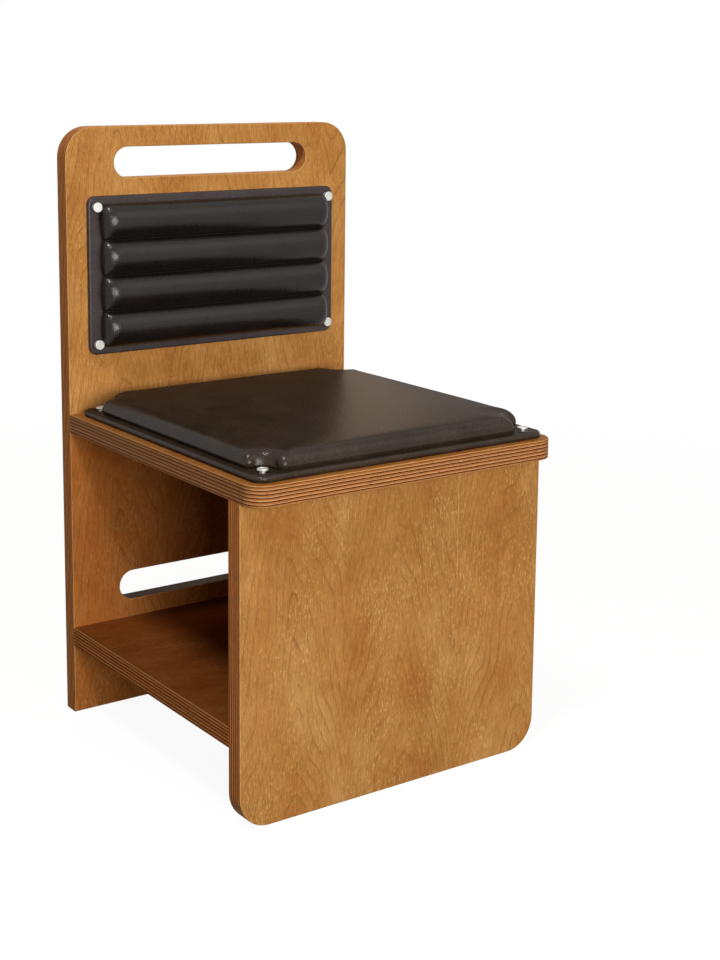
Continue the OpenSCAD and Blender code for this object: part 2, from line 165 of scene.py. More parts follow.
def add_world():
    """White where it is seen, and a plain soft sky where it lights."""
    world = bpy.data.worlds.new("studio")
    bpy.context.scene.world = world
    world.use_nodes = True
    tree = world.node_tree
    tree.nodes.clear()
    sky = add_node(tree, "ShaderNodeBackground", {"Color": "#FFFFFF", "Strength": SKY})
    white = add_node(tree, "ShaderNodeBackground", {"Color": "#FFFFFF", "Strength": 1.0})
    mix = add_node(tree, "ShaderNodeMixShader", {0: seen_rays(tree), 1: sky, 2: white})
    add_node(tree, "ShaderNodeOutputWorld", {"Surface": mix})


def add_floor():
    """A studio floor that shows white, with the chair's own faint shadow."""
    bpy.ops.mesh.primitive_plane_add(size=FLOOR_SIZE, location=(0, 0, -FLOOR_DROP))
    floor = bpy.context.object
    floor.name = "floor"
    material, tree = new_material("white_studio_floor")
    space = add_node(tree, "ShaderNodeTexCoord")
    away = add_node(tree, "ShaderNodeVectorMath", {0: (space, "Object")}, operation="LENGTH")
    far = add_node(tree, "ShaderNodeMapRange", {
        "Value": (away, "Value"), "From Min": FLOOR_NEAR, "From Max": FLOOR_FAR},
        interpolation_type="SMOOTHSTEP")
    dull = add_node(tree, "ShaderNodeBsdfDiffuse", {"Color": "#3E3E3E"})
    pale = add_node(tree, "ShaderNodeBsdfDiffuse", {"Color": "#5A5A5A"})
    glow = add_node(tree, "ShaderNodeEmission", {"Color": "#FFFFFF", "Strength": FLOOR_GLOW})
    near = add_node(tree, "ShaderNodeAddShader", {0: pale, 1: glow})
    blank = add_node(tree, "ShaderNodeEmission", {"Color": "#FFFFFF", "Strength": 1.0})
    white = add_node(tree, "ShaderNodeMixShader", {0: far, 1: near, 2: blank})
    mix = add_node(tree, "ShaderNodeMixShader", {0: seen_rays(tree), 1: dull, 2: white})
    add_node(tree, "ShaderNodeOutputMaterial", {"Surface": mix})
    floor.data.materials.append(material)


def add_lamp(name, azimuth, elevation, distance, width, power, colour, tall):
    """A soft box, aimed at the chair. Azimuth 0 is in front, and left is negative.

    It is tall times as high as it is wide.
    """
    turn, rise = math.radians(azimuth), math.radians(elevation)
    away = Vector((math.sin(turn) * math.cos(rise), -math.cos(turn) * math.cos(rise),
                   math.sin(rise)))
    bpy.ops.object.light_add(type="AREA", location=Vector(LAMPS_AIM) + away * distance)
    lamp = bpy.context.object
    lamp.name = name
    lamp.rotation_euler = (-away).to_track_quat("-Z", "Y").to_euler()
    lamp.data.shape = "RECTANGLE"
    lamp.data.size = width
    lamp.data.size_y = tall * width
    lamp.data.energy = power
    lamp.data.color = linear(colour)[:3]


# Plywood. Pattern space is in mm, with X across the grain, Y along it and Z through the board,
# from its middle

def grain_noise(tree, turned, sizes, detail, rough, move=(0, 0, 0), swirl=0.0):
    """Noise whose spots measure these sizes, in mm across, along and through the grain."""
    spots = add_node(tree, "ShaderNodeMapping", {
        "Vector": turned, "Scale": [1 / size for size in sizes], "Location": move})
    return add_node(tree, "ShaderNodeTexNoise", {
        "Vector": spots, "Scale": 1.0, "Detail": detail, "Roughness": rough,
        "Distortion": swirl})


def veneer_sheets(tree, at, shift, sheet_w):
    """Veneer sheets side by side: each one's number, the share across it, and its own chance."""
    place = add_node(tree, "ShaderNodeMath", {0: (at, "X"), 1: shift}, operation="ADD")
    count = add_node(tree, "ShaderNodeMath", {0: place, 1: sheet_w}, operation="DIVIDE")
    sheet = add_node(tree, "ShaderNodeMath", {0: count}, operation="FLOOR")
    share = add_node(tree, "ShaderNodeMath", {0: count}, operation="FRACT")
    chance = add_node(tree, "ShaderNodeTexWhiteNoise", {"W": sheet}, noise_dimensions="1D")
    return sheet, share, add_node(tree, "ShaderNodeSeparateXYZ", {0: (chance, "Color")})


def arch_rings(tree, turned, at, share, own, sheet_w, arch_side):
    """Growth rings of flat-cut veneer: nested bells round the sheet's heart, frayed and drifting.

    The rings lie 40 mm apart along the grain. On each side of the heart they run out steeply.
    """
    ring_gap, steep, heart_w, bell_w = 40, 3.0, 6.0, 20
    heart_drift, wander_w, waver_along, ring_start, fray = 44, 60, 150, 320, 12
    waver = grain_noise(tree, turned, (70, 200, 400), 2.0, 0.45)
    waver_parts = add_node(tree, "ShaderNodeSeparateXYZ", {0: (waver, "Color")})
    aside = add_node(tree, "ShaderNodeMath", {0: share, 1: sheet_w, 2: -sheet_w / 2},
                     operation="MULTIPLY_ADD")
    drift = add_node(tree, "ShaderNodeMath", {
        0: (own, "X"), 1: heart_drift, 2: -heart_drift / 2}, operation="MULTIPLY_ADD")
    wander = add_node(tree, "ShaderNodeMath", {
        0: (waver_parts, "X"), 1: wander_w, 2: -wander_w / 2}, operation="MULTIPLY_ADD")
    off_heart = add_node(tree, "ShaderNodeMath", {0: aside, 1: drift}, operation="ADD")
    off_heart = add_node(tree, "ShaderNodeMath", {0: off_heart, 1: wander}, operation="ADD")
    square = add_node(tree, "ShaderNodeMath", {0: off_heart, 1: off_heart}, operation="MULTIPLY")
    near = add_node(tree, "ShaderNodeMath", {0: square, 1: heart_w ** 2}, operation="ADD")
    near = add_node(tree, "ShaderNodeMath", {0: near}, operation="SQRT")
    bell = add_node(tree, "ShaderNodeMath", {0: square, 1: 1 / bell_w ** 2, 2: near},
                    operation="MULTIPLY_ADD")
    flip = add_node(tree, "ShaderNodeMath", {0: (own, "Y"), 1: 0.5 + 0.5 * arch_side},
                    operation="LESS_THAN")
    flip = add_node(tree, "ShaderNodeMath", {0: flip, 1: 2, 2: -1}, operation="MULTIPLY_ADD")
    along = add_node(tree, "ShaderNodeMath", {0: (at, "Y"), 1: flip}, operation="MULTIPLY")
    rings = add_node(tree, "ShaderNodeMath", {0: bell, 1: steep, 2: along},
                     operation="MULTIPLY_ADD")
    rings = add_node(tree, "ShaderNodeMath", {
        0: (waver_parts, "Y"), 1: waver_along, 2: rings}, operation="MULTIPLY_ADD")
    rings = add_node(tree, "ShaderNodeMath", {0: (own, "Z"), 1: ring_start, 2: rings},
                     operation="MULTIPLY_ADD")
    fine = grain_noise(tree, turned, (5, 24, 50), 3.0, 0.6)
    rings = add_node(tree, "ShaderNodeMath", {0: fine, 1: fray, 2: rings},
                     operation="MULTIPLY_ADD")
    turns = add_node(tree, "ShaderNodeMath", {0: rings, 1: 1 / ring_gap}, operation="MULTIPLY")
    phase = add_node(tree, "ShaderNodeMath", {0: turns}, operation="FRACT")
    return set_ramp(add_node(tree, "ShaderNodeValToRGB", {0: phase}), [
        (0.0, 0.0), (0.55, 0.04), (0.82, 0.25), (0.92, 1.0), (0.96, 0.45), (1.0, 0.0)])


def veneer_face(tree, turned, at, fibre, inside, look):
    """The board's face: tone, a tint that is painted shade on the shelf, painted redder shade
    inside the open shelf, fibre, dark rings, light flecks and one pale seam.
    """
    sheet_w = 166
    # The first colour is painted shade: the redder light that bounces between the boards inside
    # the open shelf
    painted_shade_red, ring_brown, fleck_gold, seam_pale = "#FFDECA", "#7A4218", "#E3BB7C", "#DDB078"
    sheet, share, own = veneer_sheets(tree, at, look["shift"], sheet_w)
    ring = arch_rings(tree, turned, at, share, own, sheet_w, look["arch_side"])
    patch = grain_noise(tree, turned, (55, 120, 90), 3.0, 0.55, (3.1, 7.7, 1.3))
    patch_parts = add_node(tree, "ShaderNodeSeparateXYZ", {0: (patch, "Color")})
    ring_force = add_node(tree, "ShaderNodeMapRange", {
        "Value": (patch_parts, "Y"), "From Min": 0.35, "From Max": 0.65, "To Min": 0.25,
        "To Max": 1.0})
    ring_mark = add_node(tree, "ShaderNodeMath", {0: ring, 1: ring_force},
                         operation="MULTIPLY")

    # Short light flecks of 2 by 6 mm, in clusters
    fleck = grain_noise(tree, turned, (2.0, 6.5, 3), 1.0, 0.5)
    fleck = set_ramp(add_node(tree, "ShaderNodeValToRGB", {0: fleck}), [
        (0.0, 0.0), (0.57, 0.0), (0.67, 1.0)])
    curl = grain_noise(tree, turned, (5, 9, 8), 4.0, 0.7, (1.7, 4.4, 8.8), 0.8)
    fleck_force = add_node(tree, "ShaderNodeMapRange", {
        "Value": (patch_parts, "Z"), "From Min": 0.42, "From Max": 0.62, "To Min": 0.2,
        "To Max": 0.85})
    fleck_mark = add_node(tree, "ShaderNodeMath", {0: fleck, 1: fleck_force},
                          operation="MULTIPLY")

    # Tone: soft red and gold patches, each sheet's own level times the board's level, fibre and
    # curl, then the board's tint, and last the painted redder shade inside the open shelf
    tone = set_ramp(add_node(tree, "ShaderNodeValToRGB", {0: patch}), [
        (0.30, "#A56A34"), (0.42, "#AC753A"), (0.55, "#B37D42"), (0.70, "#BC894E")])
    # The board's tone is partly painted light and shade: raised on the back, lowered on the shelf
    sheet_tone = add_node(tree, "ShaderNodeMapRange", {
        "Value": (own, "Y"), "To Min": 0.95 * look["face_tone"],
        "To Max": 1.05 * look["face_tone"]})
    fibre_tone = add_node(tree, "ShaderNodeMapRange", {
        "Value": fibre, "From Min": 0.25, "From Max": 0.75, "To Min": 0.78, "To Max": 1.20})
    curl_tone = add_node(tree, "ShaderNodeMapRange", {
        "Value": curl, "From Min": 0.3, "From Max": 0.7, "To Min": 0.86, "To Max": 1.12})
    level = add_node(tree, "ShaderNodeMath", {0: sheet_tone, 1: fibre_tone},
                     operation="MULTIPLY")
    level = add_node(tree, "ShaderNodeMath", {0: level, 1: curl_tone}, operation="MULTIPLY")
    face = add_node(tree, "ShaderNodeMix", {
        "Factor": 1.0, 6: tone, 7: level}, data_type="RGBA", blend_type="MULTIPLY")
    face = add_node(tree, "ShaderNodeMix", {
        "Factor": 1.0, 6: (face, 2), 7: look["stain"]}, data_type="RGBA", blend_type="MULTIPLY")
    # Painted shade: the front face is redder inside the open shelf
    face = add_node(tree, "ShaderNodeMix", {
        "Factor": inside, 6: (face, 2), 7: painted_shade_red}, data_type="RGBA", blend_type="MULTIPLY")
    ringed = add_node(tree, "ShaderNodeMath", {0: ring_mark, 1: 0.62}, operation="MULTIPLY")
    face = add_node(tree, "ShaderNodeMix", {
        "Factor": ringed, 6: (face, 2), 7: ring_brown}, data_type="RGBA")
    flecked = add_node(tree, "ShaderNodeMath", {0: fleck_mark, 1: look["flecks"]},
                       operation="MULTIPLY")
    face = add_node(tree, "ShaderNodeMix", {
        "Factor": flecked, 6: (face, 2), 7: fleck_gold}, data_type="RGBA")

    # The seam between two sheets is a hair line, which fades out towards the floor
    from_seam = add_node(tree, "ShaderNodeMath", {0: share, 1: 0.5}, operation="SUBTRACT")
    from_seam = add_node(tree, "ShaderNodeMath", {0: from_seam}, operation="ABSOLUTE")
    seam = add_node(tree, "ShaderNodeMapRange", {
        "Value": from_seam, "From Min": 0.492, "From Max": 0.496, "To Min": 0.0,
        "To Max": 0.4})
    seam_here = add_node(tree, "ShaderNodeMath", {0: sheet, 1: 0.5}, operation="GREATER_THAN")
    seam_mark = add_node(tree, "ShaderNodeMath", {0: seam, 1: seam_here}, operation="MULTIPLY")
    seam_fade = add_node(tree, "ShaderNodeMapRange", {
        "Value": (at, "Y"), "From Min": 170, "From Max": 290})
    seam_mark = add_node(tree, "ShaderNodeMath", {0: seam_mark, 1: seam_fade},
                         operation="MULTIPLY")
    return add_node(tree, "ShaderNodeMix", {
        "Factor": seam_mark, 6: (face, 2), 7: seam_pale}, data_type="RGBA")


def ply_edge(tree, turned, at, low_down, look):
    """The board's edge: six pairs of plies, wavering a little, with short dark cuts.

    The inside of the lower slot, away from the board's sides and foot, is painted dark as shade.
    Gives the edge and its level of light and dark.
    """
    ply_pair, sway_depth, cut_brown, painted_slot_shade = 4.15, 0.9, "#35180A", "#241209"
    slot_reach, foot = 200.0, 40.0
    sway = grain_noise(tree, turned, (60, 60, 30), 2.0, 0.5)
    depth = add_node(tree, "ShaderNodeMath", {0: sway, 1: sway_depth, 2: (at, "Z")},
                     operation="MULTIPLY_ADD")
    plies = add_node(tree, "ShaderNodeMath", {0: depth, 1: 1 / ply_pair, 2: 20.0},
                     operation="MULTIPLY_ADD")
    ply = add_node(tree, "ShaderNodeMath", {0: plies}, operation="FRACT")
    layer = add_node(tree, "ShaderNodeMath", {0: plies}, operation="FLOOR")
    ply_colour = set_ramp(add_node(tree, "ShaderNodeValToRGB", {0: ply}), [
        (0.0, "#D2A678"), (0.14, "#C8996A"), (0.24, "#AC7A4A"), (0.56, "#A26E40"),
        (0.66, "#8A5430"), (0.72, "#341709"), (0.90, "#3A1A0C"), (1.0, "#D2A678")])
    streak = grain_noise(tree, turned, (9, 9, 0.55), 4.0, 0.65)
    cut = grain_noise(tree, turned, (5, 5, 0.9), 2.0, 0.6, (5.5, 2.2, 9.1))
    layer_chance = add_node(tree, "ShaderNodeTexWhiteNoise", {"W": layer},
                            noise_dimensions="1D")
    layer_tone = add_node(tree, "ShaderNodeMapRange", {
        "Value": layer_chance, "To Min": 0.90 * look["edge_tone"],
        "To Max": 1.12 * look["edge_tone"]})
    streak_tone = add_node(tree, "ShaderNodeMapRange", {
        "Value": streak, "From Min": 0.3, "From Max": 0.7, "To Min": 0.74, "To Max": 1.24})
    level = add_node(tree, "ShaderNodeMath", {0: layer_tone, 1: streak_tone},
                     operation="MULTIPLY")
    edge = add_node(tree, "ShaderNodeMix", {
        "Factor": 1.0, 6: ply_colour, 7: level}, data_type="RGBA", blend_type="MULTIPLY")
    edge = add_node(tree, "ShaderNodeMix", {
        "Factor": 1.0, 6: (edge, 2), 7: look["edge_stain"]}, data_type="RGBA",
        blend_type="MULTIPLY")
    cut_mark = add_node(tree, "ShaderNodeMapRange", {
        "Value": cut, "From Min": 0.60, "From Max": 0.72, "To Min": 0.0, "To Max": 0.6})
    edge = add_node(tree, "ShaderNodeMix", {
        "Factor": cut_mark, 6: (edge, 2), 7: cut_brown}, data_type="RGBA")
    # Painted shade: the edges inside the lower slot are darkened
    from_middle = add_node(tree, "ShaderNodeMath", {0: (at, "X")}, operation="ABSOLUTE")
    not_outer = add_node(tree, "ShaderNodeMath", {0: from_middle, 1: slot_reach},
                         operation="LESS_THAN")
    off_floor = add_node(tree, "ShaderNodeMath", {0: (at, "Y"), 1: foot},
                         operation="GREATER_THAN")
    slot_shade = add_node(tree, "ShaderNodeMath", {0: not_outer, 1: off_floor},
                       operation="MULTIPLY")
    slot_shade = add_node(tree, "ShaderNodeMath", {0: slot_shade, 1: low_down},
                       operation="MULTIPLY")
    edge = add_node(tree, "ShaderNodeMix", {
        "Factor": slot_shade, 6: (edge, 2), 7: painted_slot_shade}, data_type="RGBA")
    return edge, level


def plywood(name, turn, middle, **look):
    """Birch plywood, stained honey amber and lacquered satin.

    The faces show flat-cut veneer: tall arches, fine fibre, small light flecks and soft red and
    gold patches. The edges show the plies as light and dark lines. Below a given height, in mm,
    the front face, which looks into the open shelf, is painted redder: painted shade, for the
    light that bounces between the boards there. The lower slot's edges are painted dark there.
    """
    material, tree = new_material(name)
    space = add_node(tree, "ShaderNodeTexCoord")
    turned = add_node(tree, "ShaderNodeMapping", {
        "Vector": (space, "Object"), "Rotation": turn, "Scale": (1 / MM,) * 3,
        "Location": middle})
    at = add_node(tree, "ShaderNodeSeparateXYZ", {0: turned})
    # Below this height the colour is painted shade: redder on the front face, dark in the lower
    # slot
    low_down = add_node(tree, "ShaderNodeMath", {0: (at, "Y"), 1: look["deep"]},
                        operation="LESS_THAN")
    in_front = add_node(tree, "ShaderNodeMath", {0: (at, "Z"), 1: 0.0},
                        operation="GREATER_THAN")
    inside = add_node(tree, "ShaderNodeMath", {0: low_down, 1: in_front}, operation="MULTIPLY")
    fibre = grain_noise(tree, turned, (1.3, 20, 3), 3.0, 0.6)
    face = veneer_face(tree, turned, at, fibre, inside, look)
    edge, edge_level = ply_edge(tree, turned, at, low_down, look)

    # The face veneer wraps over the sanded arris, where a thin pale line is partly the paler
    # sanded veneer and partly a painted highlight
    depth_in = add_node(tree, "ShaderNodeMath", {0: (at, "Z")}, operation="ABSOLUTE")
    arris = add_node(tree, "ShaderNodeMapRange", {
        "Value": depth_in, "From Min": 11.0, "From Max": 11.5})
    flat = add_node(tree, "ShaderNodeMapRange", {
        "Value": depth_in, "From Min": 12.35, "From Max": 12.47})
    worn_and_highlight = add_node(tree, "ShaderNodeMix", {
        "Factor": 0.35, 6: (face, 2), 7: "#DDAA6C"}, data_type="RGBA")
    outer = add_node(tree, "ShaderNodeMix", {
        "Factor": flat, 6: (worn_and_highlight, 2), 7: (face, 2)}, data_type="RGBA")
    colour = add_node(tree, "ShaderNodeMix", {
        "Factor": arris, 6: (edge, 2), 7: (outer, 2)}, data_type="RGBA")

    # Satin lacquer, a little duller in the pores, which can be felt
    rough = add_node(tree, "ShaderNodeMapRange", {
        "Value": fibre, "From Min": 0.3, "From Max": 0.7, "To Min": 0.58, "To Max": 0.46})
    height = add_node(tree, "ShaderNodeMath", {0: fibre, 1: edge_level}, operation="MULTIPLY")
    bump = add_node(tree, "ShaderNodeBump", {
        "Height": height, "Strength": 0.25, "Distance": 0.25 * MM})
    shader = add_node(tree, "ShaderNodeBsdfPrincipled", {
        "Base Color": (colour, 2), "Roughness": rough, "IOR": 1.5, "Normal": bump,
        "Specular IOR Level": look["gloss"]})
    add_node(tree, "ShaderNodeOutputMaterial", {"Surface": shader})
    return material


# Other finishes

def leather(name, dark, light, rough, gloss, coat, top_coat):
    """Pigmented cowhide with an embossed pebble grain: nearly even colour, silky sheen.

    The grain breaks a highlight up into small sparks. Its pebbles are 1.9 mm across, about twice
    the real ones, so that they show. The hide's coat is one value on a level top and another
    where it is stretched round an edge.
    """
    pebble, cloud_size, crease_depth = 1.9, 38, 0.22 * MM
    material, tree = new_material(name)
    space = add_node(tree, "ShaderNodeTexCoord")
    at = add_node(tree, "ShaderNodeMapping", {
        "Vector": (space, "Object"), "Scale": (1 / MM,) * 3})
    cloud = add_node(tree, "ShaderNodeTexNoise", {
        "Vector": at, "Scale": 1 / cloud_size, "Detail": 3.0, "Roughness": 0.55})
    cells = add_node(tree, "ShaderNodeTexVoronoi", {
        "Vector": at, "Scale": 1 / pebble, "Smoothness": 0.35, "Randomness": 1.0},
        feature="SMOOTH_F1")
    creases = add_node(tree, "ShaderNodeTexNoise", {
        "Vector": at, "Scale": 1 / (2.4 * pebble), "Detail": 4.0, "Roughness": 0.6})
    colour = set_ramp(add_node(tree, "ShaderNodeValToRGB", {0: cloud}), [
        (0.32, dark), (0.68, light)])
    # Painted shade in the grain's creases: the colour darkens between the pebbles
    crease_shade = add_node(tree, "ShaderNodeMapRange", {
        "Value": (cells, "Distance"), "From Min": 0.35, "From Max": 0.75, "To Min": 1.0,
        "To Max": 0.6})
    crease_shaded = add_node(tree, "ShaderNodeMix", {
        "Factor": 1.0, 6: colour, 7: crease_shade}, data_type="RGBA", blend_type="MULTIPLY")
    height = add_node(tree, "ShaderNodeMath", {
        0: (cells, "Distance"), 1: -1.0, 2: creases}, operation="MULTIPLY_ADD")
    bump = add_node(tree, "ShaderNodeBump", {
        "Height": height, "Strength": 0.65, "Distance": crease_depth})
    facing = add_node(tree, "ShaderNodeSeparateXYZ", {0: (space, "Normal")})
    shine = add_node(tree, "ShaderNodeMapRange", {
        "Value": (facing, "Z"), "From Min": 0.86, "From Max": 0.98, "To Min": coat,
        "To Max": top_coat})
    polish = add_node(tree, "ShaderNodeMapRange", {
        "Value": cloud, "From Min": 0.3, "From Max": 0.7, "To Min": rough - 0.04,
        "To Max": rough + 0.04})
    shader = add_node(tree, "ShaderNodeBsdfPrincipled", {
        "Base Color": (crease_shaded, 2), "Roughness": polish, "IOR": 1.5, "Normal": bump,
        "Specular IOR Level": gloss, "Specular Tint": "#FFF4EC", "Coat Weight": shine,
        "Coat Roughness": 0.24, "Coat IOR": 1.5, "Coat Normal": bump})
    add_node(tree, "ShaderNodeOutputMaterial", {"Surface": shader})
    return material


def turned_metal(name, colour, rough):
    """Machined metal: faint marks from the tool, and slight differences in polish."""
    material, tree = new_material(name)
    space = add_node(tree, "ShaderNodeTexCoord")
    polish = add_node(tree, "ShaderNodeTexNoise", {
        "Vector": (space, "Object"), "Scale": 900.0, "Detail": 2.0})
    dullness = add_node(tree, "ShaderNodeMapRange", {
        "Value": polish, "From Min": 0.3, "From Max": 0.7, "To Min": rough - 0.06,
        "To Max": rough + 0.08})
    bump = add_node(tree, "ShaderNodeBump", {
        "Height": polish, "Strength": 0.12, "Distance": 0.05 * MM})
    shader = add_node(tree, "ShaderNodeBsdfPrincipled", {
        "Base Color": colour, "Metallic": 1.0, "Roughness": dullness, "Normal": bump})
    add_node(tree, "ShaderNodeOutputMaterial", {"Surface": shader})
    return material


def raw_stock(name, pale, dark, stretch):
    """Raw wood or foam that stays hidden: matt, and mottled or streaky along one axis."""
    material, tree = new_material(name)
    space = add_node(tree, "ShaderNodeTexCoord")
    at = add_node(tree, "ShaderNodeMapping", {
        "Vector": (space, "Object"), "Scale": stretch})
    grain = add_node(tree, "ShaderNodeTexNoise", {
        "Vector": at, "Scale": 1.0, "Detail": 4.0, "Roughness": 0.6})
    colour = set_ramp(add_node(tree, "ShaderNodeValToRGB", {0: grain}), [
        (0.3, dark), (0.7, pale)])
    shader = add_node(tree, "ShaderNodeBsdfPrincipled", {
        "Base Color": colour, "Roughness": 0.6})
    add_node(tree, "ShaderNodeOutputMaterial", {"Surface": shader})
    return material


def finish(names, material):
    """Gives CAD nodes their material."""
    for name in names:
        slots = nodes[name].material_slots
        if not slots:
            nodes[name].data.materials.append(material)
        for one in slots:
            one.material = material


def middle_of(name):
    low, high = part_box(name)
    return (low + high) / 2


# Sizes and places of the pads, read from the CAD nodes

def pad_sizes(name, lengthways):
    """A pad piece's width, length and thickness. Its length runs along that axis."""
    low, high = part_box(name)
    return tuple(high[axis] - low[axis] for axis in (0, lengthways, 3 - lengthways))


def stud_reach(name, lengthways):
    """How far the stud centres lie from the pad's middle, in width and in length."""
    width, length = pad_sizes(name, lengthways)[:2]
    return width / 2 - STUD_HEAD_R, length / 2 - STUD_HEAD_R


def seat_place():
    low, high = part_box("seat_pad_flange")
    return Matrix.Translation(((low.x + high.x) / 2, (low.y + high.y) / 2, low.z))


def back_place():
    low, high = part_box("back_pad_flange")
    return (Matrix.Translation(((low.x + high.x) / 2, high.y, (low.z + high.z) / 2))
            @ Matrix.Rotation(math.radians(90), 4, "X"))


# Leather pieces, each modelled flat with its top up and then set in place

def apply_all(piece):
    """Applies the piece's modifiers in order."""
    bpy.context.view_layer.objects.active = piece
    for modifier in list(piece.modifiers):
        bpy.ops.object.modifier_apply(modifier=modifier.name)


def settle(piece, place, material, nodes_replaced):
    """Moves a finished flat piece to its place on the chair, in its mesh."""
    piece.data.transform(place)
    piece.data.materials.clear()
    piece.data.materials.append(material)
    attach(piece, "root")
    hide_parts(*nodes_replaced)


def choose(piece, kind, test):
    """Enters edit mode with only those edges or vertices selected that pass the test."""
    bpy.context.view_layer.objects.active = piece
    bpy.ops.object.mode_set(mode="EDIT")
    bpy.ops.mesh.select_mode(type=kind)
    bpy.ops.mesh.select_all(action="DESELECT")
    mesh = bmesh.from_edit_mesh(piece.data)
    for item in {"VERT": mesh.verts, "EDGE": mesh.edges}[kind]:
        if test(item):
            item.select_set(True)
    mesh.select_flush_mode()
    bmesh.update_edit_mesh(piece.data)


def leave():
    bpy.ops.object.mode_set(mode="OBJECT")


def shade_soft(piece):
    for polygon in piece.data.polygons:
        polygon.use_smooth = True


def inflate(piece, held, pressure, cap):
    """Blows the piece up like a filled cover. The held points stay, and none moves past cap."""
    rest = [v.co.copy() for v in piece.data.vertices]
    group = piece.vertex_groups.new(name="sewn")
    group.add(held, 1.0, "REPLACE")
    cloth = piece.modifiers.new("filling", "CLOTH")
    cloth.settings.quality = 6
    cloth.settings.mass = 0.3
    cloth.settings.tension_stiffness = 25
    cloth.settings.compression_stiffness = 25
    cloth.settings.shear_stiffness = 10
    cloth.settings.bending_stiffness = 0.6
    cloth.settings.use_pressure = True
    cloth.settings.uniform_pressure_force = pressure
    cloth.settings.vertex_group_mass = "sewn"
    cloth.settings.effector_weights.gravity = 0
    cloth.collision_settings.use_collision = False
    cloth.point_cache.frame_start = 1
    cloth.point_cache.frame_end = FILLING_STEPS
    for number in range(1, FILLING_STEPS + 1):
        bpy.context.scene.frame_set(number)
    apply_all(piece)
    bpy.context.scene.frame_set(1)
    for vertex, before in zip(piece.data.vertices, rest):
        move = vertex.co - before
        if move.length > cap:
            vertex.co = before + move.normalized() * cap
    piece.vertex_groups.clear()


def bore(piece, centre, radius, depth):
    """Cuts a round hole through the piece, its corners turned off the piece's own edges."""
    off_edges = math.radians(3.7)
    bpy.ops.mesh.primitive_cylinder_add(
        vertices=32, radius=radius, depth=depth, location=centre, rotation=(0, 0, off_edges))
    drill = bpy.context.object
    cut = piece.modifiers.new("hole", "BOOLEAN")
    cut.operation = "DIFFERENCE"
    cut.object = drill
    apply_all(piece)
    bpy.data.objects.remove(drill)


def pad_flange(name, size, corner_r, roll_r, studs, dimple_r, dimple_depth):
    """A leather-wrapped board: rounded corners, rolled edges and a dimple round each stud."""
    thick = size[2]
    bpy.ops.mesh.primitive_cube_add(size=1, location=(0, 0, thick / 2))
    piece = bpy.context.object
    piece.name = name
    bpy.ops.object.mode_set(mode="EDIT")
    bpy.ops.transform.resize(value=size)
    leave()
    bpy.ops.object.transform_apply(location=True)
    choose(piece, "EDGE", lambda e: abs(e.verts[0].co.z - e.verts[1].co.z) > thick / 2)
    bpy.ops.mesh.bevel(offset=corner_r, segments=10, affect="EDGES")
    choose(piece, "EDGE", lambda e: abs(e.verts[0].co.z - e.verts[1].co.z) < thick / 10)
    bpy.ops.mesh.bevel(offset=roll_r, segments=6, affect="EDGES")

    # Cuts across the top give the dimples their points
    step = dimple_r / 4
    for axis in (0, 1):
        normal = (1 - axis, axis, 0)
        for side in (-1, 1):
            for k in range(-5, 6):
                centre = [0, 0, 0]
                centre[axis] = side * studs[axis] + k * step
                bpy.ops.mesh.select_all(action="SELECT")
                bpy.ops.mesh.bisect(plane_co=centre, plane_no=normal)
    bpy.ops.mesh.select_all(action="SELECT")
    bpy.ops.mesh.remove_doubles(threshold=0.05 * MM)
    bpy.ops.mesh.normals_make_consistent(inside=False)
    leave()
    for vertex in piece.data.vertices:
        if vertex.co.z < thick / 2:
            continue
        away = math.hypot(abs(vertex.co.x) - studs[0], abs(vertex.co.y) - studs[1])
        if away < dimple_r:
            vertex.co.z -= dimple_depth * (0.5 + 0.5 * math.cos(math.pi * away / dimple_r))
    for x in (-studs[0], studs[0]):
        for y in (-studs[1], studs[1]):
            bore(piece, (x, y, thick / 2), STUD_HOLE_R, 3 * thick)
    shade_soft(piece)
    return piece


def arc(centre, radius, start, stop, steps):
    """Points along an arc, ends included."""
    turns = [start + (stop - start) * k / steps for k in range(steps + 1)]
    return [(centre[0] + radius * math.cos(t), centre[1] + radius * math.sin(t)) for t in turns]


def notched_loop(half, stud, notch, lobe, fill):
    """The seat cushion's outline: a rectangle with a round notch about each corner stud.

    At fill 1 the notches are filled out to plain round corners.
    """
    straight_steps, lobe_steps, notch_steps = 28, 12, 18
    reach = notch + lobe
    low = (half[0] - lobe, stud[1] - math.sqrt(reach ** 2 - (stud[0] - half[0] + lobe) ** 2))
    high = (stud[0] - math.sqrt(reach ** 2 - (stud[1] - half[1] + lobe) ** 2), half[1] - lobe)
    low_turn = math.atan2(stud[1] - low[1], stud[0] - low[0])
    high_turn = math.atan2(stud[1] - high[1], stud[0] - high[0])
    quarter = [(half[0], low[1] * k / straight_steps) for k in range(straight_steps)]
    corner = arc(low, lobe, 0, low_turn, lobe_steps)
    corner += arc(stud, notch, low_turn + math.pi, high_turn + math.pi, notch_steps)[1:-1]
    corner += arc(high, lobe, high_turn, math.pi / 2, lobe_steps)
    for k, (x, y) in enumerate(corner):
        turn = math.pi / 2 * k / (len(corner) - 1)
        full = (high[0] + (half[0] - high[0]) * math.cos(turn),
                low[1] + (half[1] - low[1]) * math.sin(turn))
        quarter.append((x + (full[0] - x) * fill, y + (full[1] - y) * fill))
    quarter += [(high[0] * (1 - k / straight_steps), half[1])
                for k in range(1, straight_steps + 1)]
    loop = []
    for sx, sy in ((1, 1), (-1, 1), (-1, -1), (1, -1)):
        turn = [(sx * x, sy * y) for x, y in quarter]
        loop += turn[:-1] if sx * sy > 0 else turn[::-1][:-1]
    return loop


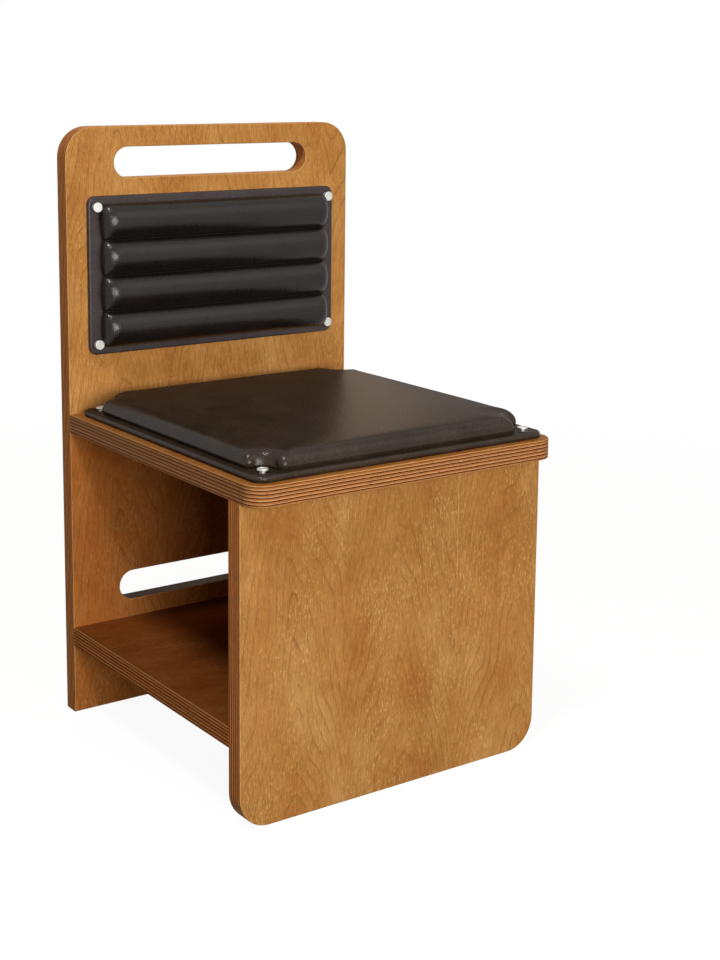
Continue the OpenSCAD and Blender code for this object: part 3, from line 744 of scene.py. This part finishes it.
def seat_rings(rise):
    """The seat cushion's rings from its base up: inset, height, share of the outline, and fill."""
    shoulder, shoulder_w, belly, draw = 21 * MM, 14 * MM, 5 * MM, 2 * MM
    belly_steps, shoulder_steps, crown_steps = 4, 18, 36
    shoulder_turn, filled_by = 87.5, 0.3
    rings = [(draw, 0, share, 0) for share in (0.25, 0.5, 0.7, 0.85, 0.94)]
    rings += [(draw * (1 - k / belly_steps) ** 2, belly * k / belly_steps, 1, 0)
              for k in range(belly_steps)]
    for k in range(shoulder_steps + 1):
        turn = math.radians(shoulder_turn * k / shoulder_steps)
        inset = shoulder_w * (1 - math.cos(turn))
        rings.append((inset, belly + (shoulder - belly) * math.sin(turn), 1, 0))
    for k in range(1, crown_steps):
        share = 1 - k / crown_steps
        fill = min((1 - share) / filled_by, 1)
        rings.append((inset, rise - (rise - shoulder) * share ** 3, share,
                      fill * fill * (3 - 2 * fill)))
    return rings


def seat_cushion():
    """The seat's filled leather cushion, notched round the four studs.

    A ball is drawn out ring by ring into the cushion's base, side, shoulder and crown.
    """
    notch_r, lobe_r = 18 * MM, 8 * MM
    width, length, rise = pad_sizes("seat_pad_cover", ON_SEAT)
    stud = stud_reach("seat_studs", ON_SEAT)
    rings = seat_rings(rise)
    loops = [notched_loop((width / 2 - inset, length / 2 - inset), stud, notch_r + inset,
                          lobe_r, fill) for inset, height, share, fill in rings]
    count = len(loops[0])
    bpy.ops.mesh.primitive_uv_sphere_add(segments=count, ring_count=len(rings) + 1, radius=1)
    piece = bpy.context.object
    piece.name = "seat_cushion"
    step = math.pi / (len(rings) + 1)
    held = []
    for vertex in piece.data.vertices:
        up = math.acos(max(-1, min(1, -vertex.co.z))) / step
        row = round(up) - 1
        if row < 0 or row >= len(rings):
            vertex.co = (0, 0, 0 if row < 0 else rise)
            continue
        k = round(math.atan2(vertex.co.y, vertex.co.x) / (2 * math.pi) * count) % count
        inset, height, share, fill = rings[row]
        x, y = loops[row][k]
        vertex.co = (share * x, share * y, height)
        if height == 0:
            held.append(vertex.index)
    inflate(piece, held, 4, 0.8 * MM)
    shade_soft(piece)
    piece.data.transform(Matrix.Translation((0, 0, pad_sizes("seat_pad_flange", ON_SEAT)[2])))
    return piece


def swell(share):
    """Height of a channel across its width, from a valley to the next."""
    return max(0, 1 - abs(2 * share - 1) ** 2.2) ** 0.62


def back_cushion():
    """The back's leather cushion, sewn down in valleys between four level channels.

    A sheet of squares is drawn out into the channels. Each ends in a full round that leans out
    over the flange. The sheet's rim goes down as the cushion's wall, and its base is closed.
    """
    channels, rows, columns, wall = 4, 16, 120, 5
    valley, end, draw, corner, lean_w = 8.5 * MM, 15 * MM, 2.5 * MM, 4.5 * MM, 4.6 * MM
    crowding, end_low, lean_turn = 0.86, 0.38, 0.72 * math.pi
    width, length, rise = pad_sizes("back_pad_cover", ON_BACK)
    half = (width / 2, length / 2)
    count = channels * rows
    bpy.ops.mesh.primitive_grid_add(
        x_subdivisions=columns + 2 * wall, y_subdivisions=count + 2 * wall, size=1)
    piece = bpy.context.object
    piece.name = "back_cushion"
    held, sewn = set(), valley / rise
    for vertex in piece.data.vertices:
        i = round((vertex.co.x + 0.5) * (columns + 2 * wall)) - wall
        j = round((vertex.co.y + 0.5) * (count + 2 * wall)) - wall
        under = max(-i, i - columns, -j, j - count, 0)
        i, j = min(max(i, 0), columns), min(max(j, 0), count)
        spread = (math.sin(math.pi / 2 * (2 * i / columns - 1) * crowding)
                  / math.sin(math.pi / 2 * crowding))
        within = 0.5 - 0.5 * math.cos(math.pi * (j % rows) / rows)
        x = spread * half[0]
        y = (2 * (j // rows + within) / channels - 1) * half[1]
        across = swell(within)
        inside = min((half[0] - abs(x)) / end, 1)
        ends = end_low + (1 - end_low) * math.sqrt(max(0, 1 - (1 - inside) ** 2))
        height = rise * (sewn + (1 - sewn) * across) * ends
        dx, dy = abs(x) - half[0] + corner, abs(y) - half[1] + corner
        if dx > 0 and dy > 0:
            pull = max(dx, dy) / math.hypot(dx, dy)
            x = math.copysign(half[0] - corner + dx * pull, x)
            y = math.copysign(half[1] - corner + dy * pull, y)
        share = 1 - under / wall
        lean = lean_w * across * math.sin(lean_turn * share)
        if share == 1:
            lean *= 1 - inside
        if abs(x) > half[0] - end:
            x += math.copysign(lean, x)
        away = draw * (1 - share) ** 1.5
        vertex.co = (x * (1 - away / half[0]), y * (1 - away / half[1]), height * share)
        if share == 0 or (j % rows == 0 and 0 < j < count):
            held.add(tuple(round(c, 6) for c in vertex.co))

    # The wall's squares at the corners lie on each other, so they are merged first
    choose(piece, "VERT", lambda v: True)
    bpy.ops.mesh.remove_doubles(threshold=0.01 * MM)
    leave()
    inflate(piece, [v.index for v in piece.data.vertices
                    if tuple(round(c, 6) for c in v.co) in held], 3, 2 * MM)
    fine = piece.modifiers.new("fine", "SUBSURF")
    fine.levels = fine.render_levels = 1
    apply_all(piece)
    shade_soft(piece)
    choose(piece, "EDGE", lambda e: e.is_boundary)
    bpy.ops.mesh.fill()
    bpy.ops.mesh.faces_shade_flat()
    bpy.ops.mesh.select_all(action="SELECT")
    bpy.ops.mesh.normals_make_consistent(inside=False)
    leave()
    piece.data.transform(Matrix.Translation((0, 0, pad_sizes("back_pad_flange", ON_BACK)[2])))
    return piece


# The studio

add_camera()
add_world()
add_floor()
for lamp_values in LAMPS:
    add_lamp(*lamp_values)

# The chair's finishes. A board's look: tones are multiples, and the face's tone is partly painted
# light and shade; tints multiply the colour, and shift moves the sheets sideways in mm

# The back's face is painted lighter, for the light that falls off towards the back. Below 395 mm
# its front face is painted redder shade and its lower slot dark shade
finish(["back_panel"], plywood(
    "stained_birch_plywood_back", STANDING, (0, 0, middle_of("back_panel").y / MM),
    arch_side=0.2, shift=76, face_tone=1.15, edge_tone=1.6, stain="#FFFFFF",
    edge_stain="#FFE0C0", gloss=0.015, deep=395, flecks=0.3))
finish(["front_panel"], plywood(
    "stained_birch_plywood_front", STANDING, (0, 0, middle_of("front_panel").y / MM),
    arch_side=1.0, shift=76, face_tone=0.99, edge_tone=1.7, stain="#FFFFFF",
    edge_stain="#FFDAB4", gloss=0.03, deep=NOWHERE, flecks=0.42))
finish(["seat_panel"], plywood(
    "stained_birch_plywood_seat", LYING, (0, 0, -middle_of("seat_panel").z / MM),
    arch_side=1.0, shift=30, face_tone=0.85, edge_tone=1.02, stain="#FFE8D4",
    edge_stain="#FFECDC", gloss=0.03, deep=NOWHERE, flecks=0.2))
# The shelf's face is painted darker and redder: painted shade, as it lies under the seat
finish(["shelf_panel"], plywood(
    "stained_birch_plywood_shelf", LYING, (0, 0, -middle_of("shelf_panel").z / MM),
    arch_side=0.6, shift=50, face_tone=0.50, edge_tone=1.35, stain="#FFD2B8",
    edge_stain="#FFDCBC", gloss=0.0, deep=NOWHERE, flecks=0.08))

# Beech dowels are pale with a close streak, and birch base boards are streaky along their length
finish(["seat_back_dowels", "seat_front_dowels", "shelf_back_dowels", "shelf_front_dowels"],
       raw_stock("beech_dowel", "#DDBE8F", "#C39C68", (400, 60, 400)))
finish(["seat_pad_base", "back_pad_base"],
       raw_stock("birch_base_board", "#D8BB86", "#B98F58", (60, 500, 500)))

# Nickel, satin plated: nearly white, with a soft broad highlight. Brass, turned and left raw
finish(["seat_studs", "back_studs", "seat_pad_eyelets", "back_pad_eyelets"],
       turned_metal("satin_nickel", "#C6C4C0", 0.50))
finish(["seat_inserts", "back_inserts"], turned_metal("turned_brass", "#B8964F", 0.35))

# Cowhide: brown black and dull on the seat, charcoal with a silky coat on the back cushion, and
# painted greyer on the back pad's board, a painted sheen. Foam is cream and matt
seat_hide = leather("brown_black_cowhide", "#2E2319", "#3C2F25", 0.58, 0.015, 0.40, 0.09)
back_hide = leather("charcoal_cowhide", "#1A1511", "#221B17", 0.42, 0.03, 0.58, 0.58)
sheen_painted_hide = leather("charcoal_cowhide_painted_sheen", "#3A3231", "#443C3A", 0.42, 0.14, 0.25, 0.25)
foam = raw_stock("upholstery_foam", "#EFE6CC", "#E2D5B4", (300, 300, 300))
finish(["seat_pad_cover", "seat_pad_flange"], seat_hide)
finish(["back_pad_cover", "back_pad_flange"], back_hide)
finish(["seat_pad_foam", "back_pad_foam"], foam)

# The leather pieces

settle(pad_flange(
    "seat_flange", pad_sizes("seat_pad_flange", ON_SEAT), 16 * MM, 3.4 * MM,
    stud_reach("seat_studs", ON_SEAT), 11 * MM, 2 * MM),
    seat_place(), seat_hide, ["seat_pad_flange"])
settle(pad_flange(
    "back_flange", pad_sizes("back_pad_flange", ON_BACK), 11 * MM, 2.4 * MM,
    stud_reach("back_studs", ON_BACK), 9 * MM, 0.4 * MM),
    back_place(), sheen_painted_hide, ["back_pad_flange"])
settle(seat_cushion(), seat_place(), seat_hide,
       ["seat_pad_cover", "seat_pad_foam"])
settle(back_cushion(), back_place(), back_hide,
       ["back_pad_cover", "back_pad_foam"])
